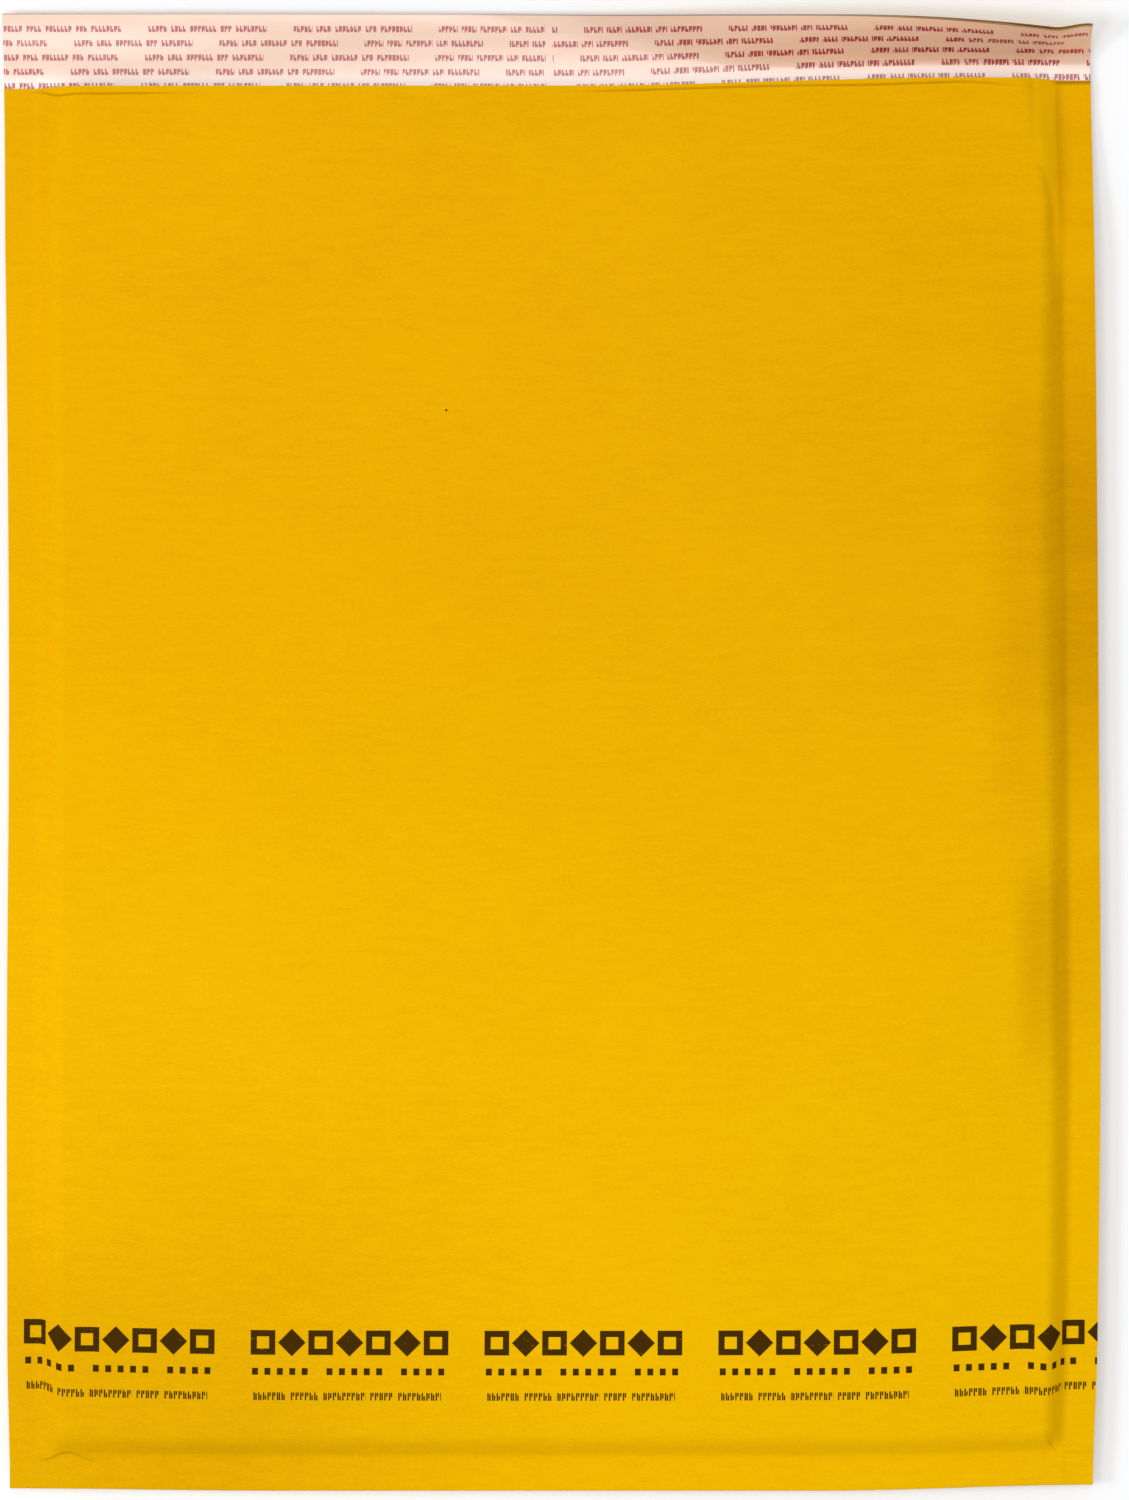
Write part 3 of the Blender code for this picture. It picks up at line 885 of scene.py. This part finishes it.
class EnvelopeLiner(bpy.types.PropertyGroup):
    colour: bpy.props.FloatVectorProperty(
        name="Colour",
        description="Colour of the release liner",
        subtype="COLOR",
        size=4,
        min=0.0,
        max=1.0,
        default=(0.80, 0.475, 0.305, 1.0),
    )
    pale: bpy.props.FloatVectorProperty(
        name="Pale colour",
        description="Colour of the liner's palest patches",
        subtype="COLOR",
        size=4,
        min=0.0,
        max=1.0,
        default=(0.86, 0.55, 0.385, 1.0),
    )
    # Painted light: the liner's paler colour beside the mouth
    painted_light_at_mouth: bpy.props.FloatVectorProperty(
        name="Colour at the mouth",
        description="Paler colour of the release liner beside the mouth",
        subtype="COLOR",
        size=4,
        min=0.0,
        max=1.0,
        default=(1.0, 0.80, 0.73, 1.0),
    )
    # Painted light: the liner's colour where the flap curls up
    painted_light_on_curl: bpy.props.FloatVectorProperty(
        name="Colour of the raised part",
        description="Colour of the release liner where the flap curls up",
        subtype="COLOR",
        size=4,
        min=0.0,
        max=1.0,
        default=(1.0, 0.615, 0.395, 1.0),
    )
    # Painted shade along the liner's free edge
    cut: bpy.props.FloatVectorProperty(
        name="Cut edge",
        description="Colour of the release liner's cut edge",
        subtype="COLOR",
        size=4,
        min=0.0,
        max=1.0,
        default=(0.34, 0.18, 0.10, 1.0),
    )
    halo: bpy.props.FloatVectorProperty(
        name="Halo",
        description="Tint of the liner round its printing",
        subtype="COLOR",
        size=4,
        min=0.0,
        max=1.0,
        default=(0.90, 0.50, 0.44, 1.0),
    )
    ink: bpy.props.FloatVectorProperty(
        name="Ink",
        description="Colour of the liner's printing",
        subtype="COLOR",
        size=4,
        min=0.0,
        max=1.0,
        default=(0.40, 0.010, 0.010, 1.0),
    )


class EnvelopeCells(bpy.types.PropertyGroup):
    pitch: bpy.props.FloatProperty(
        name="Cell pitch",
        description="Distance from one air cell to the next",
        subtype="DISTANCE",
        unit="LENGTH",
        min=0.004,
        default=0.0088,
    )
    radius: bpy.props.FloatProperty(
        name="Cell radius",
        description="Radius of an air cell at its foot",
        subtype="DISTANCE",
        unit="LENGTH",
        min=0.001,
        default=0.0038,
    )
    film: bpy.props.FloatProperty(
        name="Film thickness",
        description="Thickness of the film under the air cells",
        subtype="DISTANCE",
        unit="LENGTH",
        min=0.0001,
        default=0.00025,
    )


class EnvelopeStage(bpy.types.PropertyGroup):
    distance: bpy.props.FloatProperty(
        name="Camera distance",
        description="Height of the camera above the table",
        subtype="DISTANCE",
        unit="LENGTH",
        min=0.5,
        default=2.0,
    )
    slanting: bpy.props.FloatProperty(
        name="Slanting light",
        description="Power of the soft light from the far left, in watts",
        min=0.0,
        default=8.5,
    )
    near: bpy.props.FloatProperty(
        name="Near light",
        description="Power of the soft light above the left foot of the envelope, in watts",
        min=0.0,
        default=2.6,
    )
    overhead: bpy.props.FloatProperty(
        name="Overhead light",
        description="Power of the soft light that the release liner shines back, in watts",
        min=0.0,
        default=7.5,
    )
    sky: bpy.props.FloatProperty(
        name="Even light",
        description="Strength of the light from all round",
        min=0.0,
        default=0.56,
    )


def dressed(obj, finish, node):
    """Gives a piece its material, hangs it from the root body and hides the imported node it
    replaces, if one is given.
    """
    obj.data.materials.clear()
    obj.data.materials.append(finish)
    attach(obj, "root")
    if node:
        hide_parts(node)
    return obj


class MESH_OT_envelope_paper(bpy.types.Operator):
    """Folds the outer paper: front leaf, bottom fold, back leaf and flap in one sheet"""

    bl_idname = "mesh.envelope_paper"
    bl_label = "Outer paper"

    def execute(self, context):
        x = columns()
        front = leaf_rows(FRONT_ROW_STEP)[::-1]
        back = leaf_rows(BACK_ROW_STEP)
        flap = spaced([0.0, FLAP_LENGTH], [FLAP_ROW_STEP])[1:]
        rows = [front_points(x, np.full_like(x, y)) for y in front]
        turns = [math.pi / 2 - math.pi * k / FOLD_STEPS for k in range(1, FOLD_STEPS)]
        rows += [fold_points(x, turn) for turn in turns]
        rows += [back_points(x, np.full_like(x, y - MOUTH_Y)) for y in back]
        rows += [back_points(x, np.full_like(x, s)) for s in flap]
        obj = grid_sheet("outer_paper_sheet", x, np.array(rows), PAPER, len(front) + 2)
        dressed(obj, paper_material(), "paper_wrap")
        return {"FINISHED"}


class MESH_OT_envelope_liner(bpy.types.Operator):
    """Lays the adhesive and its release liner on the flap, tucked under the front leaf's edge"""

    bl_idname = "mesh.envelope_liner"
    bl_label = "Adhesive and liner"

    def execute(self, context):
        self.strip(
            "liner_sheet",
            LINER_LOW,
            LINER,
            0.0,
            FLAP_LENGTH + LINER_OVERHANG,
            liner_material(),
            "release_liner",
            "liner",
        )
        self.strip(
            "adhesive_band",
            ADHESIVE_LOW,
            ADHESIVE,
            ADHESIVE_INSET,
            FLAP_LENGTH - ADHESIVE_INSET,
            adhesive_material(),
            "adhesive_strip",
            "adhesive",
        )
        return {"FINISHED"}

    def strip(self, name, low, thickness, inset, end, finish, node, slot):
        """A sheet over the flap, from under the front leaf's edge to its end past the mouth."""
        side = HALF_WIDTH - inset
        x = np.clip(columns(), -side + 1e-5, side - 1e-5)
        x = np.unique(np.concatenate([[-side], x, [side]]))
        height = np.full_like(x, low + thickness / 2)
        places = np.linspace(inset - TUCK, end, LINER_ROWS)
        rows = [raised(back_points, x, np.full_like(x, s), height) for s in places]
        obj = grid_sheet(name, x, np.array(rows), thickness, LINER_ROWS - 1)
        dressed(obj, finish, node)


class MESH_OT_envelope_lining(bpy.types.Operator):
    """Makes the bag of film and fixes rows of air cells to the outside of both its faces"""

    bl_idname = "mesh.envelope_lining"
    bl_label = "Air-cell lining"

    def execute(self, context):
        cells = context.scene.envelope_cells
        finish = film_material()
        film = cells.film
        side = HALF_WIDTH - FILM_INSET
        x = spaced([-side, *FILM_FINE_SIDES, side], [FILM_FINE_STEP, FILM_STEP, FILM_FINE_STEP])
        marks = [FILM_EDGE_Y + FILM_START, FILM_EDGE_Y + FILM_FINE_END, LINING_TOP_Y]
        y = spaced(marks, [FILM_FINE_STEP, FILM_STEP])
        front = [self.film_points(x, np.full_like(x, at), 1.0, film) for at in y[::-1]]
        back = [self.film_points(x, np.full_like(x, at), -1.0, film) for at in y]
        bag = grid_sheet("lining_film", x, np.array(front + back), film, len(front))
        dressed(bag, finish, "air_cell_lining")
        for name, sign in (("front_air_cells", 1.0), ("back_air_cells", -1.0)):
            dressed(self.cells(name, sign, cells), finish, None)
        return {"FINISHED"}

    def pocket_half(self, x, y):
        """Half the pocket's height, pinched to almost nothing at its edges."""
        pinch = POCKET_PINCH / 2
        inside = (y > FILM_EDGE_Y + POCKET_START).astype(float)
        return pinch + (POCKET_GAP / 2 - pinch) * fullness(x, y, POCKET_INSET) * inside

    def film_points(self, x, y, sign, film):
        """Middle of the bag's film, over the pocket or, with a sign of -1, under it."""
        middle = SEAL_LEVEL - margin_drop(y) * (1.0 - fullness(x, y, POCKET_INSET))
        level = middle + sign * (self.pocket_half(x, y) + film / 2)
        return points(x + sideways(x, y), y + upward(x, y), level)

    def cells(self, name, sign, cells):
        """One air cell, arrayed to a field of staggered rows and pressed between film and paper."""
        obj = self.one_cell(name, cells.radius)
        size = len(obj.data.vertices)
        row = cells.pitch * math.sqrt(3) / 2
        across = int(2 * HALF_WIDTH / cells.pitch)
        along = int(BODY_LENGTH / (2 * row)) + 1
        self.repeat(obj, 2, (cells.pitch / 2, row, 0.0))
        self.repeat(obj, across, (cells.pitch, 0.0, 0.0))
        self.repeat(obj, along, (0.0, 2 * row, 0.0))
        obj.data.polygons.foreach_set("use_smooth", [True] * len(obj.data.polygons))
        place = np.empty(len(obj.data.vertices) * 3)
        obj.data.vertices.foreach_get("co", place)
        place = place.reshape(-1, 3)
        x = place[:, 0] - cells.pitch * (across - 0.5) / 2
        y = LINING_TOP_Y - cells.radius - CELL_INSET - place[:, 1]
        low = self.film_points(x, y, sign, 2 * cells.film + CELL_GAP)
        cover = back_points(x, y - MOUTH_Y) if sign < 0 else front_points(x, y)
        gap = np.abs(cover[:, 2] - low[:, 2]) - PAPER / 2 - CLEARANCE / 2
        level = low[:, 2] + sign * gap * place[:, 2]
        obj.data.vertices.foreach_set("co", points(low[:, 0], low[:, 1], level).reshape(-1))
        mid_x = x.reshape(-1, size).mean(axis=1).repeat(size)
        mid_y = y.reshape(-1, size).mean(axis=1).repeat(size)
        room = np.abs(mid_x) < HALF_WIDTH - SIDE_SEAL - cells.radius - CELL_MARGIN
        room &= mid_y > FILM_EDGE_Y + cells.radius + CELL_MARGIN
        self.keep(obj, room)
        return obj

    def one_cell(self, name, radius):
        """A cell of unit height with a rounded shoulder, its foot at level 0."""
        deselect()
        bpy.ops.mesh.primitive_cylinder_add(
            vertices=CELL_SIDES, radius=radius, depth=1.0, location=(0.0, 0.0, 0.5)
        )
        obj = bpy.context.object
        obj.name = name
        obj.data.name = name
        bpy.ops.object.transform_apply(location=True, rotation=True, scale=True)
        self.narrow(obj, SHOULDER_SHARE)
        bpy.ops.object.mode_set(mode="EDIT")
        bpy.ops.mesh.select_all(action="SELECT")
        bpy.ops.mesh.bisect(plane_co=(0, 0, CELL_SHOULDER), plane_no=(0, 0, 1))
        bpy.ops.object.mode_set(mode="OBJECT")
        self.narrow(obj, TOP_SHARE)
        return obj

    def narrow(self, obj, share):
        """Draws in the top of a cell."""
        for vertex in obj.data.vertices:
            if vertex.co.z > 0.9:
                vertex.co.x *= share
                vertex.co.y *= share

    def repeat(self, obj, count, step):
        """Repeats the whole mesh at even steps."""
        array = obj.modifiers.new("rows", "ARRAY")
        array.use_relative_offset = False
        array.use_constant_offset = True
        array.count = count
        array.constant_offset_displace = step
        bpy.ops.object.modifier_apply(modifier=array.name)

    def keep(self, obj, room):
        """Deletes the vertices that have no room, and turns the faces outwards."""
        bpy.ops.object.mode_set(mode="EDIT")
        bpy.ops.mesh.select_mode(type="VERT")
        bpy.ops.mesh.select_all(action="DESELECT")
        bpy.ops.object.mode_set(mode="OBJECT")
        obj.data.vertices.foreach_set("select", ~room)
        bpy.ops.object.mode_set(mode="EDIT")
        bpy.ops.mesh.delete(type="VERT")
        bpy.ops.mesh.select_all(action="SELECT")
        bpy.ops.mesh.normals_make_consistent(inside=False)
        bpy.ops.object.mode_set(mode="OBJECT")


class MESH_OT_envelope_stage(bpy.types.Operator):
    """Sets the floor, the soft light and the camera that looks straight down"""

    bl_idname = "mesh.envelope_stage"
    bl_label = "Floor, light and camera"

    def execute(self, context):
        settings = context.scene.envelope_stage
        self.floor()
        self.light(context, settings)
        self.camera(context, settings)
        context.scene.view_settings.view_transform = "Standard"
        return {"FINISHED"}

    def floor(self):
        """A white floor that looks a little brighter than it is."""
        deselect()
        bpy.ops.mesh.primitive_plane_add(size=FLOOR_SIZE, location=(0.0, 0.0, FLOOR_LEVEL))
        floor = bpy.context.object
        floor.name = "floor"
        made, shader, wire = material("white_floor", 0.9, 0.0)
        shader.inputs["Base Color"].default_value = FLOOR_COLOUR
        path = wire.node("ShaderNodeLightPath")
        seen = path.output("Is Camera Ray").largest(path.output("Is Glossy Ray"))
        seen = seen.largest(path.output("Is Transmission Ray"))
        values = {"Color": WHITE, "Strength": seen * FLOOR_GLOW}
        glow = wire.node("ShaderNodeEmission", None, values)
        lit = Wire(wire.tree, shader.outputs[0])
        both = wire.node("ShaderNodeAddShader", None, {0: lit, 1: glow})
        connect(both, wire.tree.nodes["Material Output"], "Surface")
        floor.data.materials.append(made)

    def light(self, context, settings):
        """Soft lamps, and an even light from all round that looks white itself."""
        deselect()
        for name, place, size in LAMPS:
            self.lamp(context, name + "_light", place, size, getattr(settings, name))
        world = context.scene.world or bpy.data.worlds.new("room")
        context.scene.world = world
        world.use_nodes = True
        wire = Wire(world.node_tree)
        seen = wire.node("ShaderNodeLightPath").output("Is Camera Ray")
        back = world.node_tree.nodes["Background"]
        back.inputs["Color"].default_value = WHITE
        connect(seen * (1.0 - settings.sky) + settings.sky, back, "Strength")

    def lamp(self, context, name, place, size, power):
        """A round soft light that faces the middle of the envelope."""
        bpy.ops.object.light_add(type="AREA", location=place)
        lamp = context.object
        lamp.name = name
        lamp.data.shape = "DISK"
        lamp.data.size = size
        lamp.data.energy = power
        lamp.rotation_euler = mathutils.Vector(place).to_track_quat("Z", "Y").to_euler()

    def camera(self, context, settings):
        """A camera that looks straight down and takes in the frame's height at the seal's level."""
        deselect()
        place = (FRAME_X, FRAME_Y, settings.distance)
        bpy.ops.object.camera_add(location=place, rotation=(0.0, 0.0, 0.0))
        camera = context.object
        camera.data.sensor_fit = "VERTICAL"
        camera.data.sensor_height = SENSOR_MM
        camera.data.lens = SENSOR_MM * (settings.distance - SEAL_LEVEL) / FRAME_HEIGHT
        camera.data.clip_end = VIEW_END
        context.scene.camera = camera


class VIEW3D_PT_envelope(bpy.types.Panel):
    """Shows the settings and a button for each step"""

    bl_label = "Padded envelope"
    bl_space_type = "VIEW_3D"
    bl_region_type = "UI"
    bl_category = "Envelope"

    def draw(self, context):
        for name, group in SETTINGS:
            box = self.layout.box()
            for key in group.__annotations__:
                box.prop(getattr(context.scene, name), key)
        for operator in OPERATORS:
            self.layout.operator(operator.bl_idname)


SETTINGS = (
    ("envelope_paper", EnvelopePaper),
    ("envelope_liner", EnvelopeLiner),
    ("envelope_cells", EnvelopeCells),
    ("envelope_stage", EnvelopeStage),
)
OPERATORS = (
    MESH_OT_envelope_paper,
    MESH_OT_envelope_liner,
    MESH_OT_envelope_lining,
    MESH_OT_envelope_stage,
)


def register():
    for name, group in SETTINGS:
        bpy.utils.register_class(group)
        setattr(bpy.types.Scene, name, bpy.props.PointerProperty(type=group))
    for operator in OPERATORS:
        bpy.utils.register_class(operator)
    bpy.utils.register_class(VIEW3D_PT_envelope)


def unregister():
    bpy.utils.unregister_class(VIEW3D_PT_envelope)
    for operator in reversed(OPERATORS):
        bpy.utils.unregister_class(operator)
    for name, group in reversed(SETTINGS):
        delattr(bpy.types.Scene, name)
        bpy.utils.unregister_class(group)


def main():
    register()
    bpy.ops.mesh.envelope_paper()
    bpy.ops.mesh.envelope_liner()
    bpy.ops.mesh.envelope_lining()
    bpy.ops.mesh.envelope_stage()


if __name__ == "__main__":
    main()
